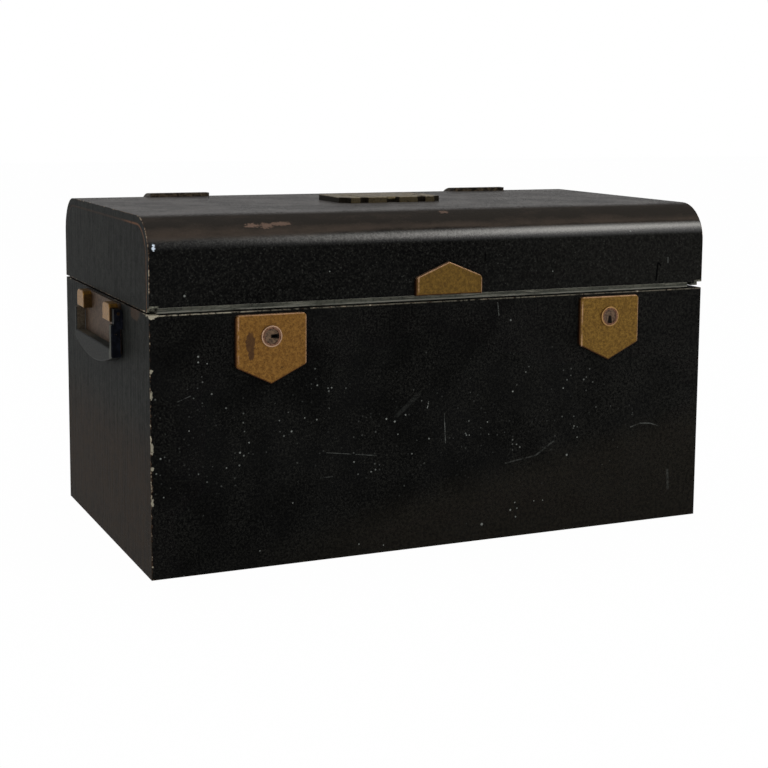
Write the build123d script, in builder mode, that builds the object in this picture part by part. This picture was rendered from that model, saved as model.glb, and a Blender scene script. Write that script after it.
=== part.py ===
"""Deed box: a black painted wooden case with a round-shouldered lid and brass fittings.

Millimetres. Z is up, the front faces -Y, and the origin is the middle of the underside.
"""
from build123d import *
import os

os.makedirs("parts", exist_ok=True)

# ---------------------------------------------------------------- driving sizes
# Case boards
case_width = 457.0  # outside, along X
case_depth = 255.0  # outside, along Y
base_height = 187.5  # underside to the rim of the base boards
lid_height = 65.6  # lower edge of the lid ends to the flat top
lid_round = 29.0  # outside radius of the lid's front and back shoulders
base_board = 8.0
floor_board = 9.0
lid_board = 6.0
lid_end_board = 6.0
liner_board = 4.0
liner_rise = 9.0  # the liners stand this far above the rim as a dust lip
seam_gap = 1.4  # between the rim and the lid's ends and back
front_band = 4.8  # between the rim and the lid's front board
arris = 0.8  # rounding of the boards' outer edges
floor_pad = 1.2
lid_pad = 1.2
pad_margin = 6.0  # bare border round the lid's lining

# Fits
board_fit = 0.05  # joints between boards and holes for screws and studs
turn_fit = 0.05  # radial, pins and plugs that turn
side_fit = 0.3  # sideways, between parts that move past each other

# Locks, one each side of the middle
lock_from_end = 88.1  # end of the case to a lock's middle
lock_plate_width = 53.5
lock_plate_drop = 2.6  # rim to the plate's top edge
lock_plate_side = 37.5  # height of the plate's straight sides
lock_plate_point = 13.0  # further height down to its point
lock_plate_thickness = 2.8
lock_plate_corner = 3.2
plate_edge = 0.9  # rolled edge of the brass plates
bail_edge = 1.2  # rounding of the bails
plug_drop = 16.0  # plate's top edge to the plug's axis
barrel_radius = 6.5
ring_radius = 7.8
ring_height = 1.3
plug_radius = 5.3
plug_set_back = 0.5  # plug face below the ring's face
keyway_width = 1.7
keyway_depth = 5.0
crank_reach = 3.0  # crank pin, across and above the plug's axis
crank_pin_radius = 1.2
lock_case_width = 50.0
lock_case_height = 27.0
lock_case_depth = 11.0
lock_case_wall = 1.2
bolt_height = 4.0
bolt_thickness = 3.0
bolt_travel = 6.0
bolt_rise = 9.5  # plug axis to the bolt's middle
fork_prong = 2.2
crank_gap = 0.9  # between the barrel's end and the bolt
barrel_bite = 2.0  # the barrel reaches this far into the lock case
lock_case_shift = 3.0  # lock case beyond the plug's axis, along X
strike_offset = 12.0  # plug axis to the strike, along X
strike_thickness = 3.0
strike_wall = 1.8  # metal round the strike's window
strike_gap = 1.0  # between the drawn bolt and the strike
window_room = 0.5  # round the bolt, above and below
strike_plate_width = 26.0
strike_plate_height = 15.0
strike_plate_thickness = 1.6
strike_over_lip = 2.0  # strike's arm above the dust lip
strike_arm = 6.0
strike_screw_less = 1.0  # the strike's screws are this much shorter

# Lift tab on the lid's front
tab_width = 55.0
tab_side = 13.4
tab_point = 11.2
tab_thickness = 3.0
tab_corner = 4.0

# Strap hinges over the lid's back shoulder
hinge_width = 50.5
hinge_leaf = 3.0
hinge_on_top = 4.0  # flat length on top, in front of the shoulder
hinge_down_back = 38.0  # base leaf below the hinge axis
knuckle_radius = 4.0
knuckle_clear = 0.2  # between the knuckles and the boards
hinge_pin_radius = 1.8
knuckle_count = 5

# Side handles
side_plate_width = 103.0
side_plate_height = 37.0
side_plate_drop = 1.0  # rim to the plate's top edge
side_plate_thickness = 2.0
lug_length = 21.5
lug_height = 13.0
lug_stand = 6.6  # beyond the plate
lug_round = 4.5
side_arm_width = 6.0
side_arm_thickness = 7.0
side_arm_gap = 0.8  # between a lug's end and the bail's arm
side_eye_radius = 3.3
side_eye_clear = 0.4  # between the eye and the case
side_pin_radius = 1.25
side_shoulder_drop = 8.0  # pivot to the top of the thick part of the arm
side_grip_drop = 26.0  # pivot to the top of the grip
side_grip_end = 6.0  # height of the grip at its ends
side_grip_bow = 9.5  # extra height of the grip in the middle

# Top handle
top_plate_width = 88.0
top_plate_depth = 57.0
top_plate_thickness = 4.3
top_well_floor = 1.3  # plate left under the well that the bail lies in
top_well_room = 0.8  # round the bail in its well
top_plate_scoop = 7.0  # hollow corner radius
scallop_small = 3.0
scallop_large = 5.0
scallop_spacing = 25.0
top_post_margin = 8.7  # plate outside each bearing block
top_arm_width = 6.0
top_grip_depth = 8.5
top_bail_corner = 6.8
top_bail_reach = 30.0  # pivot to the front of the grip
top_pivot_back = 6.0  # pivot behind the middle of the lid
top_bail_clear = 0.3  # between the bail and the floor of its well
top_pin_radius = 0.7
top_post_width = 5.0
top_post_depth = 8.0

# Screws and studs
screw_head_radius = 2.9
screw_head_height = 1.7
screw_radius = 1.4
screw_bite = 4.0  # length in the wood
screw_slot = 0.8
lid_leaf_low_share = 0.3  # height of the lid straps' lower screws, as a share of the strap behind
lid_leaf_high_share = 0.75
base_leaf_high_share = 0.3  # depth of the base leaves' upper screws, as a share of the leaf
base_leaf_low_share = 0.75
stud_radius = 1.6
stud_length = 5.0
cut_past = 1.0  # some cuts run this far past a face

# ---------------------------------------------------------------- shared places
half_width = case_width / 2
half_depth = case_depth / 2
lock_spread = half_width - lock_from_end
front_face = -half_depth
back_face = half_depth
rim = base_height
lid_bottom = rim + seam_gap
lid_front_bottom = rim + front_band
lid_top = lid_bottom + lid_height
liner_face = half_depth - base_board - liner_board
lip_top = rim + liner_rise
hinge_axis_y = back_face + knuckle_radius + knuckle_clear
hinge_axis_z = rim + seam_gap / 2
leaf_back = back_face + hinge_leaf
plate_face = front_face - lock_plate_thickness
lock_top = rim - lock_plate_drop
plug_z = lock_top - plug_drop
bolt_z = plug_z + bolt_rise
side_pivot_z = rim - side_plate_drop - lug_height / 2
side_pivot_out = side_eye_radius + side_eye_clear
plate_surface = lid_top + top_plate_thickness
well_floor = lid_top + top_well_floor
top_bail_thickness = plate_surface - well_floor - top_bail_clear
top_pivot_z = plate_surface - top_bail_thickness / 2
sides = (("left", -1), ("right", 1))


def write(builder, name):
    """Label a finished piece and write its file."""
    builder.part.label = name
    export_step(builder.part, f"parts/{name}.step")


def board(x, y, z):
    """A rectangular board between two limits along each axis."""
    with Locations(((x[0] + x[1]) / 2, (y[0] + y[1]) / 2, (z[0] + z[1]) / 2)):
        Box(x[1] - x[0], y[1] - y[0], z[1] - z[0])


def hollow(x, y, z):
    """Cut a rectangular hollow between two limits along each axis."""
    with Locations(((x[0] + x[1]) / 2, (y[0] + y[1]) / 2, (z[0] + z[1]) / 2)):
        Box(x[1] - x[0], y[1] - y[0], z[1] - z[0], mode=Mode.SUBTRACT)


def rod(start, direction, radius, length, mode=Mode.ADD):
    """A round bar, or with Mode.SUBTRACT a bore, from a point along a direction."""
    with Locations(Plane(origin=start, z_dir=direction)):
        Cylinder(radius, length, align=(Align.CENTER, Align.CENTER, Align.MIN), mode=mode)


def span(a, b, sign=1):
    """The limits a to b on the side of the middle that sign gives, in rising order."""
    return tuple(sorted((a * sign, b * sign)))


def screw_length(cover):
    """Length of a screw that holds a cover of this thickness."""
    return cover + screw_bite


def bore_screws(places, cover):
    """Cut the countersinks and holes for screws whose heads are flush at these planes."""
    for place in places:
        with Locations(place):
            Cone(screw_radius + board_fit, screw_head_radius + board_fit, screw_head_height,
                 align=(Align.CENTER, Align.CENTER, Align.MAX), mode=Mode.SUBTRACT)
            Cylinder(screw_radius + board_fit, screw_length(cover) + board_fit,
                     align=(Align.CENTER, Align.CENTER, Align.MAX), mode=Mode.SUBTRACT)


def make_screws(places, cover, name):
    """Countersunk slotted screws, one at each plane, written as one group."""
    with BuildPart() as screws:
        for place in places:
            with Locations(place):
                Cone(screw_radius, screw_head_radius, screw_head_height,
                     align=(Align.CENTER, Align.CENTER, Align.MAX))
                Cylinder(screw_radius, screw_length(cover),
                         align=(Align.CENTER, Align.CENTER, Align.MAX))
                Box(3 * screw_head_radius, screw_slot, screw_slot, mode=Mode.SUBTRACT)
    write(screws, name)


def bore_studs(places):
    """Cut the blind holes for the studs of a plate that sits on these planes."""
    for place in places:
        with Locations(place):
            Cylinder(stud_radius + board_fit, stud_length + board_fit,
                     align=(Align.CENTER, Align.CENTER, Align.MAX), mode=Mode.SUBTRACT)


def add_studs(places):
    """Add the round studs behind a plate."""
    for place in places:
        with Locations(place):
            Cylinder(stud_radius, stud_length, align=(Align.CENTER, Align.CENTER, Align.MAX))


def front_plane(x, z, y=front_face):
    """A plane on the front, facing out."""
    return Plane(origin=(x, y, z), x_dir=(1, 0, 0), z_dir=(0, -1, 0))


def back_plane(x, z, y):
    """A plane on the back, facing out."""
    return Plane(origin=(x, y, z), x_dir=(1, 0, 0), z_dir=(0, 1, 0))


def top_plane(x, y, z):
    """A plane on the top, facing up."""
    return Plane(origin=(x, y, z), x_dir=(1, 0, 0), z_dir=(0, 0, 1))


def side_plane(sign, y, z):
    """A plane on a side, facing out."""
    return Plane(origin=(sign * half_width, y, z), x_dir=(0, 1, 0), z_dir=(sign, 0, 0))


# ---------------------------------------------------------------- fixing places
lock_studs = {
    side: [front_plane(sign * lock_spread + dx, plug_z - lock_plate_side / 3) for dx in
           (-lock_plate_width / 3, lock_plate_width / 3)]
    for side, sign in sides
}
tab_studs = [front_plane(dx, lid_front_bottom + tab_side / 2) for dx in (-tab_width / 4, tab_width / 4)]
lug_middle = side_plate_width / 2 - lug_length / 2
lug_studs = {
    side: [side_plane(sign, dy, side_pivot_z) for dy in (-lug_middle, lug_middle)]
    for side, sign in sides
}
top_screw_x = top_plate_width / 2 - top_plate_scoop / 2 - screw_head_radius
top_screw_y = top_plate_depth / 2 - top_plate_scoop - screw_head_radius
top_screws = [
    top_plane(sx * top_screw_x, sy * top_screw_y, lid_top + top_plate_thickness)
    for sx in (-1, 1) for sy in (-1, 1)
]
shoulder_start = half_depth - lid_round
lid_leaf_low = hinge_axis_z + knuckle_radius + knuckle_clear
base_leaf_high = hinge_axis_z - knuckle_radius - knuckle_clear
base_leaf_low = hinge_axis_z - hinge_down_back
leaf_back_height = lid_top - lid_round - lid_leaf_low


def lid_hinge_screws(sign):
    """Planes of the screws that hold one hinge's strap to the back of the lid."""
    middle = sign * lock_spread
    return [
        back_plane(middle + dx, lid_leaf_low + leaf_back_height * share, leaf_back)
        for dx, share in (
            (-hinge_width / 3, lid_leaf_low_share),
            (0, lid_leaf_low_share),
            (hinge_width / 3, lid_leaf_low_share),
            (-hinge_width / 6, lid_leaf_high_share),
            (hinge_width / 6, lid_leaf_high_share),
        )
    ]


def base_hinge_screws(sign):
    """Planes of the screws that hold one hinge to the back board."""
    middle = sign * lock_spread
    leaf_length = base_leaf_high - base_leaf_low
    return [
        back_plane(middle + dx, base_leaf_high - leaf_length * share, leaf_back)
        for dx, share in (
            (-hinge_width / 3, base_leaf_high_share),
            (hinge_width / 3, base_leaf_high_share),
            (-hinge_width / 6, base_leaf_low_share),
            (hinge_width / 6, base_leaf_low_share),
        )
    ]


def strike_screws(sign):
    """Planes of the screws that hold one strike to the lid's front board."""
    middle = sign * lock_spread + strike_offset
    inside = front_face + lid_board + strike_plate_thickness
    height = lip_top + strike_over_lip + strike_plate_height / 2
    return [back_plane(middle + dx, height, inside) for dx in
            (-strike_plate_width / 3, strike_plate_width / 3)]


strike_cover = strike_plate_thickness - strike_screw_less  # the screws stay inside the board

# ---------------------------------------------------------------- base boards
with BuildPart() as base_front:
    board((-half_width, half_width), (front_face, front_face + base_board), (0, rim))
    outside = base_front.faces().sort_by(Axis.Y)[0]
    fillet(outside.edges(), arris)
    for side, sign in sides:
        bore_studs(lock_studs[side])
        with Locations(front_plane(sign * lock_spread, plug_z)):
            Cylinder(barrel_radius + board_fit, 3 * base_board, mode=Mode.SUBTRACT)
write(base_front, "base_front")

with BuildPart() as base_back:
    board((-half_width, half_width), (back_face - base_board, back_face), (0, rim))
    outside = base_back.faces().sort_by(Axis.Y)[-1]
    fillet(outside.edges(), arris)
    for side, sign in sides:
        bore_screws(base_hinge_screws(sign), hinge_leaf)
write(base_back, "base_back")

end_reach = half_depth - base_board - board_fit
for side, sign in sides:
    with BuildPart() as base_end:
        board(span(half_width, half_width - base_board, sign), (-end_reach, end_reach), (0, rim))
        bore_studs(lug_studs[side])
    write(base_end, f"base_{side}_end")

floor_x = half_width - base_board - board_fit
with BuildPart() as base_floor:
    board((-floor_x, floor_x), (-end_reach, end_reach), (0, floor_board))
write(base_floor, "base_floor")

# ---------------------------------------------------------------- liners and dust lip
liner_foot = floor_board + floor_pad
for name, facing in (("front_liner", -1), ("back_liner", 1)):
    with BuildPart() as liner:
        board((-floor_x, floor_x), span(end_reach, liner_face, facing), (liner_foot, lip_top))
        if facing < 0:
            for side, sign in sides:
                with Locations(front_plane(sign * lock_spread, plug_z)):
                    Cylinder(barrel_radius + board_fit, case_depth / 2, mode=Mode.SUBTRACT)
        inner_rim = liner.faces().sort_by(Axis.Z)[-1]
        fillet(inner_rim.edges().filter_by(Axis.X), arris)
    write(liner, name)

for side, sign in sides:
    with BuildPart() as liner:
        liner_reach = liner_face - board_fit
        board(span(floor_x, floor_x - liner_board, sign), (-liner_reach, liner_reach),
              (liner_foot, lip_top))
        inner_rim = liner.faces().sort_by(Axis.Z)[-1]
        fillet(inner_rim.edges().filter_by(Axis.Y), arris)
    write(liner, f"{side}_liner")

with BuildPart() as floor_lining:
    board((-floor_x, floor_x), (-end_reach, end_reach), (floor_board, floor_board + floor_pad))
write(floor_lining, "floor_lining")

# ---------------------------------------------------------------- lid boards
lid_middle_z = (lid_bottom + lid_top) / 2


def lid_outline(inset):
    """The lid's outline seen from the side, drawn inset from its outer face."""
    with Locations((0, lid_middle_z - inset / 2)):
        Rectangle(case_depth - 2 * inset, lid_height - inset)
    shoulders = vertices().group_by(Axis.Y)[-1]
    fillet(shoulders, lid_round - inset)


with BuildPart() as lid_shell:
    with BuildSketch(Plane.YZ):
        lid_outline(0)
    extrude(amount=half_width, both=True)
    with BuildSketch(Plane.YZ):
        lid_outline(lid_board)
    extrude(amount=half_width, both=True, mode=Mode.SUBTRACT)
    hollow((-half_width, half_width), (front_face, front_face + 2 * lid_board),
           (lid_bottom, lid_front_bottom))
    front_edge = lid_shell.edges().filter_by(Axis.X).group_by(Axis.Y)[0].sort_by(Axis.Z)[0]
    fillet(front_edge, arris)
    bore_studs(tab_studs)
    bore_screws(top_screws, top_plate_thickness)
    for side, sign in sides:
        bore_screws(lid_hinge_screws(sign), hinge_leaf)
        bore_screws(strike_screws(sign), strike_cover)
write(lid_shell, "lid_shell")

for side, sign in sides:
    with BuildPart() as lid_end:
        with BuildSketch(Plane.YZ.offset(sign * (half_width - lid_end_board / 2))):
            lid_outline(lid_board + board_fit)
        extrude(amount=lid_end_board / 2, both=True)
    write(lid_end, f"lid_{side}_end")

lining_x = half_width - lid_end_board - pad_margin
lining_y = shoulder_start - pad_margin
with BuildPart() as lid_lining:
    board((-lining_x, lining_x), (-lining_y, lining_y),
          (lid_top - lid_board - lid_pad, lid_top - lid_board))
write(lid_lining, "lid_lining")

# ---------------------------------------------------------------- lift tab
with BuildPart() as lift_tab:
    with BuildSketch(front_plane(0, lid_front_bottom)):
        with BuildLine():
            Polyline((-tab_width / 2, 0), (tab_width / 2, 0), (tab_width / 2, tab_side),
                     (0, tab_side + tab_point), (-tab_width / 2, tab_side), close=True)
        make_face()
        fillet(vertices().sort_by(Axis.Y)[2:4], tab_corner)
    extrude(amount=tab_thickness)
    fillet(lift_tab.faces().sort_by(Axis.Y)[0].edges(), plate_edge)
    add_studs(tab_studs)
write(lift_tab, "lift_tab")


# ---------------------------------------------------------------- locks
def lock_plate(side, sign):
    """Shield plate with its point down, bored for the lock's barrel."""
    with BuildPart() as plate:
        with BuildSketch(front_plane(sign * lock_spread, lock_top)):
            half = lock_plate_width / 2
            with BuildLine():
                Polyline((-half, 0), (half, 0), (half, -lock_plate_side),
                         (0, -lock_plate_side - lock_plate_point), (-half, -lock_plate_side), close=True)
            make_face()
            fillet(vertices().sort_by(Axis.Y)[1:], lock_plate_corner)
        extrude(amount=lock_plate_thickness)
        fillet(plate.faces().sort_by(Axis.Y)[0].edges(), plate_edge)
        with Locations(front_plane(sign * lock_spread, plug_z)):
            Cylinder(barrel_radius + board_fit, 3 * lock_plate_thickness, mode=Mode.SUBTRACT)
        add_studs(lock_studs[side])
    write(plate, f"{side}_lock_plate")


case_front = -liner_face  # the lock case sits on the front liner
barrel_end = case_front + barrel_bite
bolt_front = barrel_end + crank_gap
bolt_back = bolt_front + bolt_thickness
ring_front = plate_face - ring_height
strike_front = bolt_front - side_fit - strike_wall
strike_back = bolt_back + side_fit + strike_wall


def lock_barrel(side, sign):
    """Fixed barrel with the bright ring in front, from the plate through to the lock case."""
    with BuildPart() as barrel:
        axis_end = (sign * lock_spread, barrel_end, plug_z)
        rod(axis_end, (0, -1, 0), barrel_radius, barrel_end - plate_face)
        rod((sign * lock_spread, plate_face, plug_z), (0, -1, 0), ring_radius, ring_height)
        rod(axis_end, (0, -1, 0), plug_radius + turn_fit, barrel_end - ring_front, mode=Mode.SUBTRACT)
        fillet(barrel.faces().sort_by(Axis.Y)[0].edges(), ring_height / 3)
    write(barrel, f"{side}_lock_barrel")


def lock_plug(side, sign, key_turn):
    """Turning plug: a keyway in its face and a crank pin behind that throws the bolt."""
    face = ring_front + plug_set_back
    with BuildPart() as plug:
        rod((sign * lock_spread, barrel_end, plug_z), (0, -1, 0), plug_radius, barrel_end - face)
        key_plane = front_plane(sign * lock_spread, plug_z, face).rotated((0, 0, key_turn))
        with BuildSketch(key_plane):
            with Locations((plug_radius / 2 - keyway_width / 4, 0)):
                SlotOverall(plug_radius - keyway_width / 2, keyway_width)
        extrude(amount=-keyway_depth, mode=Mode.SUBTRACT)
        crank_place = (sign * lock_spread - crank_reach, barrel_end, plug_z + crank_reach)
        rod(crank_place, (0, 1, 0), crank_pin_radius, crank_gap + bolt_thickness)
    write(plug, f"{side}_lock_plug")


def lock_case(side, sign):
    """Shallow pan on the front liner, with a slot for the strike and shelves for the bolt."""
    middle = sign * lock_spread + lock_case_shift
    half = lock_case_width / 2
    top = bolt_z + bolt_height / 2 + 2 * strike_wall
    bottom = top - lock_case_height
    back = case_front + lock_case_depth
    shelf_top = bolt_z - bolt_height / 2 - side_fit
    with BuildPart() as case:
        board((middle - half, middle + half), (case_front, back), (bottom, top))
        hollow((middle - half + lock_case_wall, middle + half - lock_case_wall),
               (case_front - cut_past, back - lock_case_wall),
               (bottom + lock_case_wall, top - lock_case_wall))
        fork_left = sign * lock_spread - crank_reach - crank_pin_radius - side_fit - fork_prong
        board((middle - half, fork_left - side_fit), (bolt_front, back),
              (shelf_top - strike_wall, shelf_top))
        strike_right = sign * lock_spread + strike_offset + strike_thickness / 2
        board((strike_right + strike_gap, middle + half), (bolt_front, back),
              (shelf_top - strike_wall, shelf_top))
        hollow((strike_right - strike_thickness - strike_gap, strike_right + strike_gap),
               (case_front, strike_back + strike_gap), (top - 2 * lock_case_wall, top + cut_past))
    write(case, f"{side}_lock_case")


def lock_bolt(side, sign):
    """Sliding bolt with a fork that the plug's crank pin moves."""
    tip = sign * lock_spread + strike_offset - strike_thickness / 2 - strike_gap
    fork_middle = sign * lock_spread - crank_reach
    tail = fork_middle - crank_pin_radius - side_fit - fork_prong - bolt_travel - fork_prong
    notch = crank_pin_radius + side_fit
    low, high = bolt_z - bolt_height / 2, bolt_z + bolt_height / 2
    fork_low = plug_z + crank_reach - crank_pin_radius
    with BuildPart() as bolt:
        board((tail, tip), (bolt_front, bolt_back), (low, high))
        board((fork_middle - notch - fork_prong, fork_middle + notch + fork_prong),
              (bolt_front, bolt_back), (fork_low, low))
        crank_top = plug_z + crank_reach * 2 ** 0.5 + crank_pin_radius + side_fit
        hollow((fork_middle - notch, fork_middle + notch), (bolt_front, bolt_back),
               (fork_low, crank_top))
    write(bolt, f"{side}_lock_bolt")


def strike(side, sign):
    """Strike on the lid: it passes behind the dust lip and takes the bolt in its window."""
    middle = sign * lock_spread + strike_offset
    half = strike_thickness / 2
    window_low = bolt_z - bolt_height / 2 - window_room
    window_high = bolt_z + bolt_height / 2 + window_room
    arm_low = lip_top + strike_over_lip
    inside = front_face + lid_board
    with BuildPart() as piece:
        board((middle - half, middle + half), (strike_front, strike_back),
              (window_low - strike_wall, arm_low + strike_arm))
        board((middle - half, middle + half), (inside, strike_back), (arm_low, arm_low + strike_arm))
        board((middle - strike_plate_width / 2, middle + strike_plate_width / 2),
              (inside, inside + strike_plate_thickness), (arm_low, arm_low + strike_plate_height))
        hollow((middle - half, middle + half), (bolt_front - side_fit, bolt_back + side_fit),
               (window_low, window_high))
        bore_screws(strike_screws(sign), strike_cover)
    write(piece, f"{side}_strike")


for (side, sign), key_turn in zip(sides, (0, -90)):
    lock_plate(side, sign)
    lock_barrel(side, sign)
    lock_plug(side, sign, key_turn)
    lock_case(side, sign)
    lock_bolt(side, sign)
    strike(side, sign)
make_screws(strike_screws(-1) + strike_screws(1), strike_cover, "strike_screws")

# ---------------------------------------------------------------- strap hinges
knuckle_pitch = hinge_width / knuckle_count


def knuckle_limits(middle, wanted):
    """Limits along X of every second knuckle, starting at wanted, eased at inner ends."""
    left = middle - hinge_width / 2
    for place in range(wanted, knuckle_count, 2):
        low = left + place * knuckle_pitch + (side_fit / 2 if place else 0)
        high = left + (place + 1) * knuckle_pitch - (side_fit / 2 if place < knuckle_count - 1 else 0)
        yield low, high


def add_knuckles(middle, wanted, web_end):
    """Knuckles round the hinge axis, each with a web that reaches up or down into its leaf."""
    web_y = (back_face + knuckle_clear, hinge_axis_y)
    web_z = tuple(sorted((hinge_axis_z, web_end)))
    for low, high in knuckle_limits(middle, wanted):
        board((low, high), web_y, web_z)
        rod((low, hinge_axis_y, hinge_axis_z), (1, 0, 0), knuckle_radius, high - low)


def bore_pin(middle):
    """Cut the hinge pin's bore through the knuckles."""
    start = (middle - hinge_width, hinge_axis_y, hinge_axis_z)
    rod(start, (1, 0, 0), hinge_pin_radius + turn_fit, 2 * hinge_width, mode=Mode.SUBTRACT)


for side, sign in sides:
    middle = sign * lock_spread
    with BuildPart() as lid_strap:
        with BuildSketch(Plane.YZ.offset(middle - hinge_width / 2)):
            lid_outline(-hinge_leaf)
            with Locations((-lid_round - hinge_on_top - hinge_leaf, lid_middle_z)):
                Rectangle(case_depth, 3 * lid_height, mode=Mode.SUBTRACT)
            with Locations((0, lid_leaf_low - lid_height)):
                Rectangle(2 * case_depth, 2 * lid_height, mode=Mode.SUBTRACT)
        extrude(amount=hinge_width)
        with BuildSketch(Plane.YZ.offset(middle - hinge_width / 2)):
            lid_outline(0)
        extrude(amount=hinge_width, mode=Mode.SUBTRACT)
        add_knuckles(middle, 1, lid_leaf_low)
        bore_pin(middle)
        bore_screws(lid_hinge_screws(sign), hinge_leaf)
    write(lid_strap, f"{side}_hinge_lid_strap")

    with BuildPart() as base_leaf:
        board((middle - hinge_width / 2, middle + hinge_width / 2), (back_face, leaf_back),
              (base_leaf_low, base_leaf_high))
        add_knuckles(middle, 0, base_leaf_high)
        bore_pin(middle)
        bore_screws(base_hinge_screws(sign), hinge_leaf)
    write(base_leaf, f"{side}_hinge_base_leaf")

    with BuildPart() as hinge_pin:
        start = (middle - hinge_width / 2, hinge_axis_y, hinge_axis_z)
        rod(start, (1, 0, 0), hinge_pin_radius, hinge_width)
        chamfer(hinge_pin.edges(), hinge_pin_radius / 4)
    write(hinge_pin, f"{side}_hinge_pin")

make_screws(lid_hinge_screws(-1) + lid_hinge_screws(1), hinge_leaf, "lid_hinge_screws")
make_screws(base_hinge_screws(-1) + base_hinge_screws(1), hinge_leaf, "base_hinge_screws")


# ---------------------------------------------------------------- side handles
def out_limits(sign, near, far):
    """Limits along X between two distances out from a side of the case."""
    return span(half_width + near, half_width + far, sign)


def outer_face(builder, sign):
    """The face furthest out on the side that sign gives."""
    ordered = builder.faces().sort_by(Axis.X)
    return ordered[-1] if sign > 0 else ordered[0]


plate_top = rim - side_plate_drop
plate_half = side_plate_width / 2
arm_inner = plate_half + side_arm_gap
arm_outer = arm_inner + side_arm_width
arm_back = side_plate_thickness + side_fit
arm_front = arm_back + side_arm_thickness
pivot_x = half_width + side_pivot_out
grip_top = side_pivot_z - side_grip_drop
grip_low = grip_top - side_grip_end


def side_handle_plate(side, sign):
    """Plate on the case's side, behind the bail."""
    with BuildPart() as plate:
        board(out_limits(sign, 0, side_plate_thickness), (-plate_half, plate_half),
              (plate_top - side_plate_height, plate_top))
        fillet(outer_face(plate, sign).edges(), plate_edge / 2)
        for place in lug_studs[side]:
            with Locations(place):
                Cylinder(stud_radius + board_fit, 3 * side_plate_thickness, mode=Mode.SUBTRACT)
    write(plate, f"{side}_handle_plate")


def side_handle_lugs(side, sign):
    """Two lugs studded through the plate into the case, bored for the bail's pins."""
    with BuildPart() as lugs:
        for end in (-1, 1):
            lug_y = span(plate_half, plate_half - lug_length, end)
            board(out_limits(sign, side_plate_thickness, side_plate_thickness + lug_stand), lug_y,
                  (plate_top - lug_height, plate_top))
        upper = lugs.edges().filter_by(Axis.X).group_by(Axis.Z)[-1]
        fillet(upper, lug_round)
        fronts = lugs.faces().group_by(Axis.X)[-1 if sign > 0 else 0]
        fillet(fronts.edges(), plate_edge)
        rod((sign * pivot_x, -arm_outer, side_pivot_z), (0, 1, 0), side_pin_radius + turn_fit,
            2 * arm_outer, mode=Mode.SUBTRACT)
        add_studs([place.offset(side_plate_thickness) for place in lug_studs[side]])
    write(lugs, f"{side}_handle_lugs")


def side_handle_pins(side, sign):
    """Two pins that join the lugs and the bail's eyes."""
    pin_length = arm_outer - plate_half + lug_length
    with BuildPart() as pins:
        for end in (-1, 1):
            start = (sign * pivot_x, end * (plate_half - lug_length), side_pivot_z)
            rod(start, (0, end, 0), side_pin_radius, pin_length)
    write(pins, f"{side}_handle_pins")


def side_handle_bail(side, sign):
    """Hanging bail: two arms with an eye and a square heel each, and a bowed grip."""
    shoulder = side_pivot_z - side_shoulder_drop
    with BuildPart() as bail:
        for end in (-1, 1):
            with BuildSketch(Plane.XZ.offset(-end * arm_inner)):
                with Locations((sign * pivot_x, side_pivot_z)):
                    Circle(side_eye_radius)
                    Rectangle(side_eye_radius, side_eye_radius,
                              align=(Align.MIN if sign > 0 else Align.MAX, Align.MIN))
                    Rectangle(2 * side_eye_radius, side_shoulder_drop + side_eye_radius,
                              align=(Align.CENTER, Align.MAX))
            extrude(amount=-end * side_arm_width)
            board(out_limits(sign, arm_back, arm_front), span(arm_inner, arm_outer, end),
                  (grip_low, shoulder))
        with BuildSketch(Plane.YZ.offset(sign * (half_width + arm_back))):
            with BuildLine():
                Polyline((-arm_outer, grip_low), (-arm_outer, grip_top), (arm_outer, grip_top),
                         (arm_outer, grip_low))
                ThreePointArc((arm_outer, grip_low), (0, grip_low - side_grip_bow), (-arm_outer, grip_low))
            make_face()
        extrude(amount=sign * side_arm_thickness)
        fillet(outer_face(bail, sign).edges(), bail_edge)
        rod((sign * pivot_x, -arm_outer, side_pivot_z), (0, 1, 0), side_pin_radius + turn_fit,
            2 * arm_outer, mode=Mode.SUBTRACT)
    write(bail, f"{side}_handle_bail")


for side, sign in sides:
    side_handle_plate(side, sign)
    side_handle_lugs(side, sign)
    side_handle_pins(side, sign)
    side_handle_bail(side, sign)

# ---------------------------------------------------------------- top handle
post_x = top_plate_width / 2 - top_post_margin - top_post_width / 2
post_outer = post_x + top_post_width / 2
bail_half = post_x - top_post_width / 2 - side_fit
inner_half = bail_half - top_arm_width
grip_front = top_pivot_back - top_bail_reach
grip_back = grip_front + top_grip_depth
well_back = top_pivot_back + top_bail_thickness / 2 + top_well_room

with BuildPart() as top_plate:
    with BuildSketch(Plane.XY.offset(lid_top)):
        Rectangle(top_plate_width, top_plate_depth)
        corners = [(sx * top_plate_width / 2, sy * top_plate_depth / 2) for sx in (-1, 1) for sy in (-1, 1)]
        with Locations(*corners):
            Circle(top_plate_scoop, mode=Mode.SUBTRACT)
        edge_places = [(0, sy * top_plate_depth / 2) for sy in (-1, 1)]
        with Locations(*edge_places):
            Circle(scallop_large, mode=Mode.SUBTRACT)
            with Locations((-scallop_spacing, 0), (scallop_spacing, 0)):
                Circle(scallop_small, mode=Mode.SUBTRACT)
    extrude(amount=top_plate_thickness)
    chamfer(top_plate.faces().sort_by(Axis.Z)[-1].edges(), plate_edge / 2)
    hollow((-bail_half - top_well_room, bail_half + top_well_room),
           (grip_front - top_well_room, well_back), (well_floor, plate_surface + cut_past))
    board((-inner_half + top_well_room, inner_half - top_well_room),
          (grip_back + top_well_room, well_back), (well_floor, plate_surface))
    for sign in (-1, 1):
        hollow(span(bail_half, post_outer + board_fit, sign),
               (top_pivot_back - top_post_depth / 2 - board_fit,
                top_pivot_back + top_post_depth / 2 + board_fit),
               (well_floor, plate_surface + cut_past))
    bore_screws(top_screws, top_plate_thickness)
write(top_plate, "top_handle_plate")

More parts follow.
